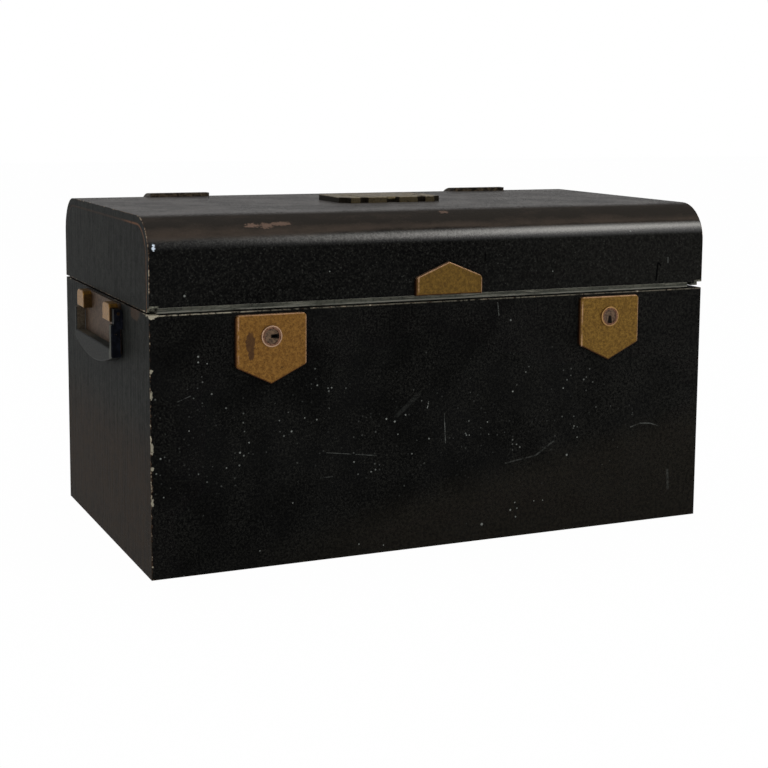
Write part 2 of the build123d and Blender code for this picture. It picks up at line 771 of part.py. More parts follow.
with BuildPart() as top_posts:  # bearing blocks in the ends of the well
    for sign in (-1, 1):
        board((sign * post_x - top_post_width / 2, sign * post_x + top_post_width / 2),
              (top_pivot_back - top_post_depth / 2, top_pivot_back + top_post_depth / 2),
              (well_floor, plate_surface))
    chamfer(top_posts.faces().group_by(Axis.Z)[-1].edges(), plate_edge / 2)
    rod((-post_outer, top_pivot_back, top_pivot_z), (1, 0, 0), top_pin_radius + turn_fit,
        2 * post_outer, mode=Mode.SUBTRACT)
write(top_posts, "top_handle_posts")

with BuildPart() as top_pins:
    for sign in (-1, 1):
        start = (sign * (bail_half - top_arm_width), top_pivot_back, top_pivot_z)
        rod(start, (sign, 0, 0), top_pin_radius, top_arm_width + side_fit + top_post_width)
write(top_pins, "top_handle_pins")

with BuildPart() as top_bail:
    with BuildSketch(Plane.XY.offset(top_pivot_z - top_bail_thickness / 2)):
        with BuildLine():
            Polyline((-bail_half, top_pivot_back), (-bail_half, grip_front), (bail_half, grip_front),
                     (bail_half, top_pivot_back), (inner_half, top_pivot_back), (inner_half, grip_back),
                     (-inner_half, grip_back), (-inner_half, top_pivot_back), close=True)
        make_face()
        fillet(vertices().group_by(Axis.Y)[0], top_bail_corner)
        fillet(vertices().group_by(Axis.Y)[-2], top_arm_width / 3)
    extrude(amount=top_bail_thickness)
    fillet(top_bail.faces().filter_by(Axis.Z).edges().filter_by(Axis.X), bail_edge)
    for sign in (-1, 1):
        rod((sign * inner_half, top_pivot_back, top_pivot_z), (sign, 0, 0), top_bail_thickness / 2,
            top_arm_width)
    rod((-bail_half, top_pivot_back, top_pivot_z), (1, 0, 0), top_pin_radius + turn_fit,
        2 * bail_half, mode=Mode.SUBTRACT)
write(top_bail, "top_handle_bail")
make_screws(top_screws, top_plate_thickness, "top_handle_screws")
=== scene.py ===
"""Deed box: black painted case with a round-shouldered lid and aged brass fittings."""
import math

import bpy
from mathutils import Euler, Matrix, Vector


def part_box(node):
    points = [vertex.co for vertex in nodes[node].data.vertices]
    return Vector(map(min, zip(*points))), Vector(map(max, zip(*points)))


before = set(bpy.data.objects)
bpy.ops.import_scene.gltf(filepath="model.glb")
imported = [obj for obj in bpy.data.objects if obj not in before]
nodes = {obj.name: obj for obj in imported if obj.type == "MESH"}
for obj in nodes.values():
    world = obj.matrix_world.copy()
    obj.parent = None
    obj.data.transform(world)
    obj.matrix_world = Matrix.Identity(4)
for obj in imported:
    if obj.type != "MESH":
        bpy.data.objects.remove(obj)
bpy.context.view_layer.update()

MM = 0.001
SIDES = ("left", "right")

# The box's own planes, read from its pieces
base_low, base_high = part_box("base_front")
lid_low, lid_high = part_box("lid_shell")
HALF_WIDTH = base_high.x
HALF_DEPTH = -base_low.y
RIM = base_high.z
LID_BOTTOM = lid_low.z
LID_TOP = lid_high.z
SHOULDER = 29 * MM
LID_WALL = 6 * MM
BASE_WALL = 8 * MM

CAMERA_AZIMUTH = math.radians(-24.237)
CAMERA_HEIGHT = math.radians(7.099)
CAMERA_ROLL = math.radians(0.43)
CAMERA_REACH = 1.2575
CAMERA_TARGET = Vector((0.0053, 0.0, 0.1789))
CAMERA_LENS = 71.58
CAMERA_SENSOR = 36
CAMERA_SHIFT = -0.12
back = Vector((
    math.sin(CAMERA_AZIMUTH) * math.cos(CAMERA_HEIGHT),
    -math.cos(CAMERA_AZIMUTH) * math.cos(CAMERA_HEIGHT),
    math.sin(CAMERA_HEIGHT),
))
CAMERA_PLACE = CAMERA_TARGET + back * CAMERA_REACH
CAMERA_TURN = (-back).to_track_quat("-Z", "Y") @ Euler((0, 0, CAMERA_ROLL)).to_quaternion()
VIEW_SIDE = 768


def front_place(across, down):
    """The x and z on the front's plane that the camera sees at a point of its square view."""
    ray = CAMERA_TURN @ Vector((
        across / VIEW_SIDE - 0.5,
        0.5 - down / VIEW_SIDE + CAMERA_SHIFT,
        -CAMERA_LENS / CAMERA_SENSOR,
    ))
    place = CAMERA_PLACE + ray * ((-HALF_DEPTH - CAMERA_PLACE.y) / ray.y)
    return place.x, place.z


# ---------------------------------------------------------------- materials
class Wire:
    """A node's output; arithmetic on it adds Math nodes."""

    def __init__(self, finish, socket):
        self.finish = finish
        self.socket = socket

    def maths(self, operation, a, b=0.0):
        return self.finish.node("ShaderNodeMath", {"operation": operation}, {0: a, 1: b})

    def __add__(self, other):
        return self.maths("ADD", self, other)

    def __radd__(self, other):
        return self.maths("ADD", other, self)

    def __sub__(self, other):
        return self.maths("SUBTRACT", self, other)

    def __rsub__(self, other):
        return self.maths("SUBTRACT", other, self)

    def __mul__(self, other):
        return self.maths("MULTIPLY", self, other)

    def __rmul__(self, other):
        return self.maths("MULTIPLY", other, self)

    def __pow__(self, other):
        return self.maths("POWER", self, other)

    def __abs__(self):
        return self.maths("ABSOLUTE", self)

    def least(self, other):
        return self.maths("MINIMUM", self, other)

    def most(self, other):
        return self.maths("MAXIMUM", self, other)

    def rise(self, low, high):
        """0 below low and 1 above high, smooth between; low above high turns it round."""
        return self.finish.node(
            "ShaderNodeMapRange",
            {"interpolation_type": "SMOOTHSTEP"},
            {"Value": self, "From Min": low, "From Max": high},
        )


class Finish:
    """One material: a Principled surface and the nodes that feed it."""

    def __init__(self, name, **constants):
        self.material = bpy.data.materials.new(name)
        self.material.use_nodes = True
        self.tree = self.material.node_tree
        self.surface = self.tree.nodes["Principled BSDF"]
        for socket, value in constants.items():
            self.surface.inputs[socket.replace("_", " ")].default_value = value
        self.place = self.node("ShaderNodeTexCoord", output="Object")
        split = self.place.finish.tree.nodes.new("ShaderNodeSeparateXYZ")
        self.tree.links.new(self.place.socket, split.inputs[0])
        self.x, self.y, self.z = (Wire(self, socket) for socket in split.outputs)

    def node(self, kind, settings=None, inputs=None, output=0):
        """Add a node, set it up, feed its sockets and give one of its outputs."""
        made = self.tree.nodes.new(kind)
        for key, value in (settings or {}).items():
            setattr(made, key, value)
        for key, value in (inputs or {}).items():
            self.feed(made.inputs[key], value)
        return Wire(self, made.outputs[output])

    def feed(self, socket, value):
        """Link a wire to a socket, or set a plain value on it."""
        if isinstance(value, Wire):
            self.tree.links.new(value.socket, socket)
        else:
            socket.default_value = value

    def stretched(self, stretch, shift=(0, 0, 0)):
        """The object's coordinates, moved and scaled; a scale under 1 draws a pattern out."""
        inputs = {"Vector": self.place, "Scale": stretch, "Location": shift}
        return self.node("ShaderNodeMapping", None, inputs)

    def cloud(self, size, detail=4.0, roughness=0.6, stretch=(1, 1, 1), shift=(0, 0, 0)):
        """Soft noise from 0 to 1 with lumps of about this size in metres."""
        inputs = {
            "Vector": self.stretched(stretch, shift),
            "Scale": 1 / size,
            "Detail": detail,
            "Roughness": roughness,
        }
        return self.node("ShaderNodeTexNoise", None, inputs)

    def flecks(self, size, radius, share, shift=(0, 0, 0)):
        """Round flecks on a share of the cells of a grid of this size."""
        inputs = {"Vector": self.stretched((1, 1, 1), shift), "Scale": 1 / size}
        distance = self.node("ShaderNodeTexVoronoi", None, inputs, "Distance")
        cell_colour = self.node("ShaderNodeTexVoronoi", None, inputs, "Color")
        pick = self.node("ShaderNodeSeparateColor", None, {0: cell_colour})
        chosen = pick.rise(1 - share, 1 - share + 0.01)
        return chosen * distance.rise(radius * 1.3, radius * 0.5)

    def mix(self, mask, a, b):
        """Colour a where the mask is 0 and colour b where it is 1."""
        return self.node("ShaderNodeMix", {"data_type": "RGBA"}, {0: mask, 6: a, 7: b}, 2)

    def bump(self, height, depth, strength=1.0):
        """Relief: heights from 0 to 1 stand for this depth in metres."""
        inputs = {"Height": height, "Distance": depth, "Strength": strength}
        return self.node("ShaderNodeBump", None, inputs)

    def stroke(self, start, end, width):
        """A thin scratch on the front between two points of the view."""
        start_x, start_z = front_place(*start)
        end_x, end_z = front_place(*end)
        dx, dz = end_x - start_x, end_z - start_z
        length = math.hypot(dx, dz)
        dx, dz = dx / length, dz / length
        along = (self.x - start_x) * dx + (self.z - start_z) * dz
        across = abs((self.z - start_z) * dx - (self.x - start_x) * dz)
        ends = along.rise(-width, width) * along.rise(length + width, length - width)
        return across.rise(width, width * 0.4) * ends

    def patch(self, centre, size, axes, rough_edge):
        """A ragged oval spot at a place, in metres; rough_edge is a noise wire."""
        u, v = (getattr(self, axis) for axis in axes)
        du = (u - centre[0]) * (1 / size[0])
        dv = (v - centre[1]) * (1 / size[1])
        return (du * du + dv * dv + (rough_edge - 0.5) * 2.2).rise(1.15, 0.75)

    def spots(self, places):
        """Small round spots on the front, each a point of the view and a radius in millimetres."""
        total = self.x * 0.0
        for across, down, radius in places:
            x, z = front_place(across, down)
            ends = {0: self.place, 1: (x, -HALF_DEPTH, z)}
            reach = self.node("ShaderNodeVectorMath", {"operation": "DISTANCE"}, ends, "Value")
            total = total.most(reach.rise(radius * MM, radius * 0.5 * MM))
        return total

    def done(self, colour, roughness, normal, **others):
        """Feed the surface and give the finished material."""
        self.feed(self.surface.inputs["Base Color"], colour)
        self.feed(self.surface.inputs["Roughness"], roughness)
        self.feed(self.surface.inputs["Normal"], normal)
        for socket, value in others.items():
            self.feed(self.surface.inputs[socket.replace("_", " ")], value)
        return self.material


def shade(red, green, blue):
    """A colour given as it looks on a screen, 0 to 255."""
    return tuple(
        c / 255 / 12.92 if c <= 10 else ((c / 255 + 0.055) / 1.055) ** 2.4
        for c in (red, green, blue)
    ) + (1.0,)


def second_least(a, b, c):
    """The middle one of three distances: how far a surface point is from the nearest edge."""
    return a.least(b).most(a.most(b).least(c))


BLACK = shade(5, 5, 5)
SOFT_BLACK = shade(22, 22, 20)
COOL_BLACK = shade(13, 13, 13)
WARM_BLACK = shade(44, 34, 25)
GREY_BLACK = shade(40, 39, 36)
HAZE_BROWN = shade(34, 31, 26)
PANEL_DARK = shade(15, 15, 15)
PANEL_SHEEN_GREY = shade(44, 45, 42)
BROW_REFLECTION_PALE = shade(66, 57, 50)
BROW_REFLECTION_DARK = shade(43, 39, 35)
TOP_DARK = shade(28, 25, 23)
TOP_SHEEN_GREY = shade(80, 76, 73)
CREAM = shade(170, 162, 142)
BARE_WOOD = shade(104, 72, 52)
DUST = shade(140, 142, 136)
LIP_GREY = shade(140, 138, 122)
PINK_SCUFF = shade(126, 102, 88)


def wear_edges(finish, edge, lumps, reach, share):
    """Chipped edges: cream ground where the paint is off, bare wood round it."""
    fine = finish.cloud(1.8 * MM, 3.0, 0.75)
    ragged = edge - (lumps - (1 - share)) * (reach * 5) - (fine - 0.5) * (reach * 1.8)
    return ragged.rise(reach * 0.35, 0.0), ragged.rise(reach * 0.8, reach * 0.2)


# Flecks on the front: a point of the camera's view, radius in millimetres
CASE_SPOTS = (
    (386.4, 418.9, 0.9), (394.8, 421.5, 1.0), (405.6, 414.8, 0.8), (316.8, 419.6, 0.7),
    (304.8, 417.9, 0.6), (331.7, 387.7, 0.7), (189.1, 431.1, 0.6), (291.6, 431.4, 0.9),
    (240.0, 452.7, 0.9), (292.8, 502.9, 0.6), (163.7, 497.6, 0.6), (259.9, 550.9, 0.6),
    (359.0, 544.1, 0.7), (383.5, 545.1, 0.6), (397.9, 434.2, 0.6), (317.3, 385.3, 0.8),
    (198.2, 362.4, 0.8), (207.1, 363.7, 0.6), (198.2, 356.7, 0.9), (566.7, 454.8, 1.1),
    (481.7, 524.2, 1.3), (514.8, 502.4, 0.7), (510.3, 509.9, 1.0), (516.9, 508.1, 0.7),
    (515.5, 516.7, 0.8), (533.9, 500.8, 0.6), (542.5, 500.1, 0.6), (577.1, 437.1, 0.6),
    (466.5, 435.1, 0.7), (469.3, 435.1, 0.6), (487.4, 421.9, 0.7),
)
LID_SPOTS = ((184.5, 296.0, 1.0), (329.7, 271.4, 0.6), (552.8, 271.2, 0.6))
# Scratches on the front: start and end in the view, half width in millimetres, strength
CASE_SCRATCHES = (
    ((444.3, 413.5), (445.5, 443.0), 0.40, 0.42),
    ((428.7, 401.5), (427.3, 408.3), 0.50, 0.85),
    ((396.3, 416.3), (419.4, 393.6), 2.2, 0.05),
    ((326.4, 452.7), (350.7, 454.0), 0.40, 0.22),
    ((355.6, 454.3), (376.8, 455.6), 0.45, 0.24),
    ((320.0, 478.0), (333.0, 476.5), 0.45, 0.12),
    ((177.6, 402.0), (190.8, 396.0), 0.40, 0.20),
    ((505.1, 463.2), (535.7, 455.3), 0.7, 0.14),
    ((535.7, 455.3), (553.8, 440.7), 0.9, 0.16),
    ((630.2, 427.1), (639.9, 423.1), 0.6, 0.22),
    ((639.9, 423.1), (650.1, 423.1), 0.6, 0.26),
    ((650.1, 423.1), (659.2, 426.0), 0.6, 0.22),
    ((667.1, 468.9), (667.6, 488.8), 1.5, 0.10),
    ((497.8, 302.5), (499.0, 315.5), 0.35, 0.40),
)
# Chips down the left front corner: how far down the view, half their length in millimetres
CORNER_CHIPS = ((372, 1.4), (395, 3.6), (449, 3.4), (469, 1.8), (503, 3.0))
CORNER_ACROSS = 152.5  # the corner's place across the view
# Scuffs on the lid's shoulder: middle and half sizes in x and z, strength
LID_SCUFFS = (
    ((-0.1505, 0.2468), (0.0054, 0.0014), 1.0),
    ((-0.1400, 0.2464), (0.0048, 0.0018), 0.9),
    ((-0.1290, 0.2474), (0.0072, 0.0013), 0.85),
    ((0.0045, 0.2522), (0.0042, 0.0008), 0.7),
)
# Deep black gouges on the lid's front: start and end in the view, half width in millimetres
LID_GOUGES = (
    ((661, 266), (658, 262), 1.1),
    ((658, 262), (656, 281), 1.1),
    ((485.5, 253), (485, 261), 0.8),
)
LID_TICK = ((668, 257), (668, 263))
RELIEF = 0.4 * MM  # depth of the paint's unevenness
# A point within ON_PLANE of a face's plane is on it, and one beyond OFF_PLANE isn't
ON_PLANE = 0.1 * MM
OFF_PLANE = 0.6 * MM


def end_panel(finish, grain, speckle, lumps):
    """The end boards' paint, greyer than the front as a painted sheen of light from the side, with
    the grain standing up.
    """
    mottled = grain * 0.4 + speckle.rise(0.4, 0.7) * 0.3 + lumps.rise(0.35, 0.65) * 0.3
    return finish.mix(mottled, PANEL_DARK, PANEL_SHEEN_GREY)


def case_paint():
    finish = Finish("ebonised_case", Specular_IOR_Level=0.016)
    dx = HALF_WIDTH - abs(finish.x)
    dy = HALF_DEPTH - abs(finish.y)
    dz = finish.z.least(RIM - finish.z)
    edge = second_least(dx, dy, dz)
    on_end = dx.rise(OFF_PLANE, ON_PLANE)
    on_front = (finish.y + HALF_DEPTH).rise(OFF_PLANE, ON_PLANE)
    broad = finish.cloud(60 * MM, 3.0, 0.55)
    grain_z = finish.cloud(4 * MM, 5.0, 0.7, (1, 1, 0.06)).rise(0.34, 0.66)
    grain_x = finish.cloud(9 * MM, 4.0, 0.6, (0.07, 1, 1))
    weave = finish.cloud(2.6 * MM, 4.0, 0.72)
    speckle = finish.cloud(1.5 * MM, 3.0, 0.75)
    lumps = finish.cloud(7 * MM, 3.0, 0.65)
    ragged = finish.cloud(3 * MM, 3.0, 0.7)
    colour = finish.mix(broad.rise(0.38, 0.66) * 0.8, BLACK, COOL_BLACK)
    patchy = finish.cloud(26 * MM, 4.0, 0.6, shift=(0.7, 0.2, 0.5)).rise(0.36, 0.62)
    colour = finish.mix(weave.rise(0.46, 0.62) * (0.45 + patchy * 0.5), colour, SOFT_BLACK)
    colour = finish.mix(speckle.rise(0.46, 0.64) * (0.25 + patchy * 0.4), colour, GREY_BLACK)
    # A brown haze lies below a line that climbs to the right
    slant = 0.047 + finish.x * 0.20 + (lumps - 0.5) * 0.012
    haze = on_front * (slant - finish.z).rise(-0.010, 0.020) * finish.x.rise(-0.20, -0.02)
    colour = finish.mix(haze * (0.30 + weave.rise(0.4, 0.62) * 0.55), colour, HAZE_BROWN)
    right_haze = on_front * finish.x.rise(-0.02, 0.17) * (1 - haze) * weave.rise(0.40, 0.62) * 0.30
    colour = finish.mix(right_haze, colour, GREY_BLACK)
    # The end boards are greyer, a painted sheen of light from the side, and brown low down
    panel = end_panel(finish, grain_z, speckle, lumps)
    browned = 0.35 + grain_z * 0.25 + lumps.rise(0.4, 0.6) * 0.35
    panel = finish.mix(finish.z.rise(0.125, 0.07) * browned, panel, WARM_BLACK)
    colour = finish.mix(on_end, colour, panel)
    # Old dust and flecks lie thickest below the middle of the front
    belt = finish.z.rise(0.03, 0.08) * finish.z.rise(0.16, 0.11)
    dusty = on_front * belt * finish.x.rise(0.21, 0.05)
    clusters = finish.cloud(28 * MM, 3.0, 0.6, shift=(0.4, 0.3, 0.9)).rise(0.50, 0.60)
    small_flecks = finish.flecks(3.4 * MM, 0.20, 0.30) * dusty
    small_flecks = small_flecks * (0.10 + clusters * 0.9) * lumps.rise(0.3, 0.6)
    rare_flecks = finish.flecks(17 * MM, 0.045, 0.30, (0.3, 0.1, 0.2)) * (0.1 + lumps * 0.8)
    dust = small_flecks.most(rare_flecks).most(speckle.rise(0.62, 0.85) * (0.05 + dusty * 0.16))
    marks = finish.x * 0.0
    for start, end, width, strength in CASE_SCRATCHES:
        marks = marks.most(finish.stroke(start, end, width * MM) * strength)
    dust = dust.most(marks * on_front * ragged.rise(0.3, 0.6))
    dust = dust.most(finish.spots(CASE_SPOTS) * (0.5 + lumps * 0.4))
    colour = finish.mix(dust, colour, DUST)
    # A brown patch on the side panel in front of the handle
    on_left_end = on_end * finish.x.rise(0, -0.01)
    brown_patch = finish.patch((-0.091, 0.1850), (0.013, 0.0055), "yz", ragged) * on_left_end
    colour = finish.mix(brown_patch * 0.5, colour, shade(74, 58, 46))
    # The rim is rubbed to a thin pale line, and the left front corner is chipped most
    rim_line = on_front * (RIM - finish.z).rise(1.3 * MM, 0.3 * MM) * ragged.rise(0.36, 0.56)
    rim_line = rim_line * (0.35 + finish.x.rise(-0.14, -0.17) * 0.6)
    colour = finish.mix(rim_line, colour, CREAM)
    torn = (ragged - 0.5) * 3.0 + 0.5
    chip_middle = (-HALF_WIDTH + 3 * MM, RIM - 0.5 * MM)
    big_chip = finish.patch(chip_middle, (3.4 * MM, 2.2 * MM), "xz", torn)
    big_chip = big_chip * finish.y.rise(-0.118, -0.12)
    colour = finish.mix(big_chip * 0.9, colour, CREAM)
    corner = dx.rise(6 * MM, 1 * MM) * finish.y.rise(-0.11, -0.12)
    left_corner = corner * finish.x.rise(0, -0.01)
    bumps = finish.cloud(4.2 * MM, 4.0, 0.7)
    uneven = finish.cloud(45 * MM, 2.0, 0.5).rise(0.4, 0.6)
    chipped = 0.37 + left_corner * (0.01 + uneven * 0.10)
    cream, wood = wear_edges(finish, edge, bumps, 1.3 * MM, chipped)
    for down, tall in CORNER_CHIPS:
        _, height = front_place(CORNER_ACROSS, down)
        chip = finish.patch((-HALF_WIDTH + 0.9 * MM, height), (1.2 * MM, tall * MM), "xz", torn)
        cream = cream.most(chip * on_front * 0.8)
    colour = finish.mix(wood * 0.35, colour, BARE_WOOD)
    colour = finish.mix(cream * 0.85, colour, CREAM)
    # The joint between the front board and the end shows as a fine line
    joint = abs(dy - BASE_WALL).rise(0.5 * MM, 0.1 * MM) * on_end
    colour = finish.mix(joint * 0.6, colour, BLACK)
    relief = finish.mix(on_end, grain_x, grain_z)
    relief = relief * 0.5 + broad * 0.6 + weave * 0.35 + speckle * 0.2 - cream * 0.8 - joint * 0.6
    roughness = 0.50 + weave * 0.16 + dust * 0.3 + cream * 0.3
    return finish.done(colour, roughness, finish.bump(relief, RELIEF, 0.5))


def lid_paint():
    finish = Finish("ebonised_lid", Specular_IOR_Level=0.016, Coat_IOR=1.9, Coat_Roughness=0.26)
    dx = HALF_WIDTH - abs(finish.x)
    depth = LID_TOP - finish.z
    qy = (abs(finish.y) - (HALF_DEPTH - SHOULDER)).most(0.0)
    qz = (finish.z - (LID_TOP - SHOULDER)).most(0.0)
    profile = SHOULDER - (qy * qy + qz * qz) ** 0.5
    straight = (HALF_DEPTH - abs(finish.y)).least(depth)
    profile = profile.least(straight)
    dz = finish.z - LID_BOTTOM
    edge = second_least(dx, profile, dz)
    on_end = dx.rise(OFF_PLANE, ON_PLANE)
    on_face = 1 - on_end
    on_shoulder = on_face * qy.rise(0.0, 3 * MM)
    broad = finish.cloud(60 * MM, 3.0, 0.55, (0.4, 1, 1))
    weave = finish.cloud(2.6 * MM, 4.0, 0.72)
    speckle = finish.cloud(1.6 * MM, 3.0, 0.75)
    streaks = finish.cloud(7 * MM, 4.0, 0.65, (0.3, 1, 1))
    smear = finish.cloud(12 * MM, 5.0, 0.65, (0.35, 1, 1))
    cross = finish.cloud(1.6 * MM, 4.0, 0.75, (1, 0.28, 1)).rise(0.40, 0.60)
    grain_z = finish.cloud(4 * MM, 5.0, 0.7, (1, 1, 0.06)).rise(0.34, 0.66)
    lumps = finish.cloud(7 * MM, 3.0, 0.65, shift=(0.1, 0.2, 0.3))
    on_top = depth.rise(1.6 * MM, 0.1 * MM) * on_face
    brow_foot = 12.3 * MM + (streaks - 0.5) * (4.0 * MM) + finish.x.rise(-0.03, -0.17) * (2.8 * MM)
    brow = (depth - brow_foot).rise(2.6 * MM, -0.9 * MM) * on_shoulder
    colour = finish.mix(broad.rise(0.38, 0.66) * 0.6, BLACK, COOL_BLACK)
    colour = finish.mix(weave.rise(0.46, 0.62) * 0.75, colour, SOFT_BLACK)
    colour = finish.mix(speckle.rise(0.46, 0.64) * 0.45, colour, GREY_BLACK)
    haze = on_face * finish.x.rise(-0.02, 0.17) * (0.16 + weave.rise(0.40, 0.62) * 0.26)
    colour = finish.mix(haze, colour, GREY_BLACK)
    # The lid's end boards take the same painted sheen of light from the side
    colour = finish.mix(on_end, colour, end_panel(finish, grain_z, speckle, lumps))
    # Painted reflection: the brow of the shoulder takes a brown grey for reflected light, lighter
    # further down towards the highlight band
    lit = depth.rise(6 * MM, 12 * MM) * 0.75 + (smear.rise(0.35, 0.65) - 0.5) * 0.5
    brown = finish.mix((lit + (speckle - 0.5) * 0.8).most(0.0).least(1.0), BROW_REFLECTION_DARK, BROW_REFLECTION_PALE)
    colour = finish.mix(brow, colour, brown)
    # Painted sheen: the lid's flat top takes a mottled light grey that stands for grazing reflected
    # light on the black paint
    clouded = finish.cloud(34 * MM, 4.0, 0.65, shift=(0.6, 0.1, 0.3)).rise(0.36, 0.64)
    top_sheen_mottle = cross * 0.25 + speckle.rise(0.35, 0.65) * 0.25 + clouded * 0.5
    top_sheen = finish.mix(top_sheen_mottle, TOP_DARK, TOP_SHEEN_GREY)
    colour = finish.mix(on_top, colour, top_sheen)
    rare_flecks = finish.flecks(19 * MM, 0.045, 0.35, (0.2, 0.4, 0.1)) * (0.1 + lumps * 0.8)
    band = on_shoulder * (depth - brow_foot).rise(0.0, 1.5 * MM)
    dust = rare_flecks.most(speckle.rise(0.6, 0.85) * (0.04 + band * 0.16))
    dust = dust.most(finish.spots(LID_SPOTS) * 0.7)
    colour = finish.mix(dust * (1 - on_top), colour, DUST)
    ragged = finish.cloud(1.6 * MM, 4.0, 0.75, (0.6, 1, 1))
    on_front = finish.y.rise(0, -0.01) * on_face
    torn = (ragged - 0.5) * 3.2 + 0.5
    scuff = finish.x * 0.0
    for middle, size, strength in LID_SCUFFS:
        scuff = scuff.most(finish.patch(middle, size, "xz", torn) * strength)
    colour = finish.mix(scuff * on_front * (0.35 + ragged * 0.6), colour, PINK_SCUFF)
    gouges = finish.x * 0.0
    for start, end, width in LID_GOUGES:
        gouges = gouges.most(finish.stroke(start, end, width * MM))
    colour = finish.mix(gouges * on_front, colour, shade(1, 1, 1))
    tick = finish.stroke(*LID_TICK, 0.4 * MM) * on_front
    colour = finish.mix(tick * 0.35, colour, DUST)
    # The joint between the shell and the end board shows as a worn brown line
    seam = abs(profile - LID_WALL).rise(1.1 * MM, 0.3 * MM) * on_end
    front_seam = seam * finish.y.rise(-0.05, -0.09)
    bare_seam = (seam * 0.15 + front_seam * 0.7) * ragged.rise(0.3, 0.55)
    colour = finish.mix(bare_seam, colour, BARE_WOOD)
    corner = dx.rise(5 * MM, 1 * MM) * finish.y.rise(-0.10, -0.11) * finish.x.rise(0, -0.01)
    bumps = finish.cloud(4.2 * MM, 4.0, 0.7)
    cream, wood = wear_edges(finish, edge, bumps, 1.0 * MM, 0.39 + corner * 0.08)
    colour = finish.mix(wood * 0.65, colour, BARE_WOOD)
    colour = finish.mix(cream * 0.8, colour, CREAM)
    # The end boards' feet stand below the shell's front edge, rubbed like the lip
    foot = (finish.z - LID_BOTTOM).rise(5.2 * MM, 4.6 * MM) * dx.rise(BASE_WALL, 0.5 * BASE_WALL)
    foot = foot * finish.y.rise(-0.115, -0.12) * (1 - on_end)
    colour = finish.mix(foot * ragged.rise(0.35, 0.6) * 0.8, colour, LIP_GREY)
    # Painted glint: a small blue-white spot of reflected light on the shoulder near the left front
    # corner
    painted_glint = finish.patch((-0.2245, 0.2345), (0.0012, 0.0024), "xz", torn) * on_front
    colour = finish.mix(painted_glint, colour, shade(214, 224, 236))
    dents = finish.flecks(24 * MM, 0.10, 0.35, (0.5, 0.3, 0.9))
    sparkle = band * weave * 0.9
    relief = streaks * 0.25 + cross * 0.12 + broad * 0.5 + weave * 0.35 + speckle * 0.3 + sparkle
    relief = relief - cream * 0.8 - dents * 1.2 - seam * 0.6
    roughness = 0.50 + weave * 0.16 + dust * 0.3 + cream * 0.3 + on_top * 0.06
    along = 0.24 + finish.x.rise(-0.22, 0.18) * 0.76
    calm = finish.x.rise(-0.05, 0.12)
    grain = 0.5 + calm * 0.35 + speckle.rise(0.3, 0.62) * (0.5 - calm * 0.35)
    soft_band = on_shoulder * (depth - 12.6 * MM).rise(0.0, 4.0 * MM)
    polish = soft_band * depth.rise(23.5 * MM, 17.5 * MM) * along * grain
    polish = polish.most(on_top * (0.06 + cross * 0.12))
    return finish.done(colour, roughness, finish.bump(relief, RELIEF, 0.5), Coat_Weight=polish)


def lip_paint():
    finish = Finish("lip_paint", Specular_IOR_Level=0.2)
    broad = finish.cloud(18 * MM, 4.0, 0.65, (0.5, 1, 1))
    fine = finish.cloud(2 * MM, 3.0, 0.7)
    colour = finish.mix(broad.rise(0.30, 0.70), shade(114, 114, 101), shade(158, 156, 138))
    colour = finish.mix(fine.rise(0.45, 0.7) * 0.6, colour, shade(60, 60, 54))
    scrapes = finish.cloud(5 * MM, 4.0, 0.7, (0.12, 1, 1.5)).rise(0.52, 0.62)
    band = finish.z.rise(RIM - 6 * MM, RIM - 1 * MM)
    colour = finish.mix(scrapes * (0.12 + band * 0.68), colour, shade(206, 200, 180))
    breakup = finish.cloud(16 * MM, 4.0, 0.7, (0.3, 1, 1), (0.2, 0.1, 0.4)).rise(0.34, 0.5)
    lines = abs(finish.z - (RIM + 4.2 * MM)).rise(0.8 * MM, 0.3 * MM)
    lines = lines.most(abs(finish.z - (RIM + 0.5 * MM)).rise(0.8 * MM, 0.3 * MM))
    colour = finish.mix(lines * breakup * 0.9, colour, shade(232, 226, 206))
    return finish.done(colour, 0.55 + fine * 0.2, finish.bump(fine + scrapes, 0.2 * MM, 0.4))


def brass(name, bright, dull, stain, stain_share, roughness=0.42, size=2.6, spots=None,
          outline=None, metal=0.9, pale=None, dark=None):
    """Aged brass: a mottled face, darker stains, pits and optional darker spots, and edges with a
    painted highlight and painted shade.
    """
    finish = Finish(name, Metallic=metal)
    mottle = finish.cloud(size * MM, 5.0, 0.72)
    fine = finish.cloud(1.0 * MM, 3.0, 0.7)
    blotch = finish.cloud(size * 3.5 * MM, 5.0, 0.65, shift=(0.3, 0.6, 0.1))
    colour = finish.mix(mottle.rise(0.36, 0.64), dull, bright)
    colour = finish.mix(fine.rise(0.48, 0.7) * 0.6, colour, stain)
    stained = blotch.rise(1 - stain_share, 1.10 - stain_share)
    colour = finish.mix(stained * 0.8, colour, stain)
    if spots:
        spotted, strength, tone = spots(finish, mottle)
        colour = finish.mix(spotted * strength, colour, tone)
        stained = stained.most(spotted)
    # Painted highlight on the top and right edges, painted shade on the left and bottom edges
    if outline:
        lit_edges, shaded_edges = outline(finish)
        colour = finish.mix(shaded_edges * 0.85, colour, dark or stain)
        colour = finish.mix(lit_edges * (0.45 + mottle * 0.6), colour, pale or bright)
    pits = finish.flecks(2.6 * MM, 0.13, 0.25)
    colour = finish.mix(pits * 0.6, colour, stain)
    relief = mottle * 0.5 + fine * 0.35 - pits * 0.9
    rough = roughness + fine * 0.16 + stained * 0.14
    return finish.done(colour, rough, finish.bump(relief, 0.12 * MM, 0.5))


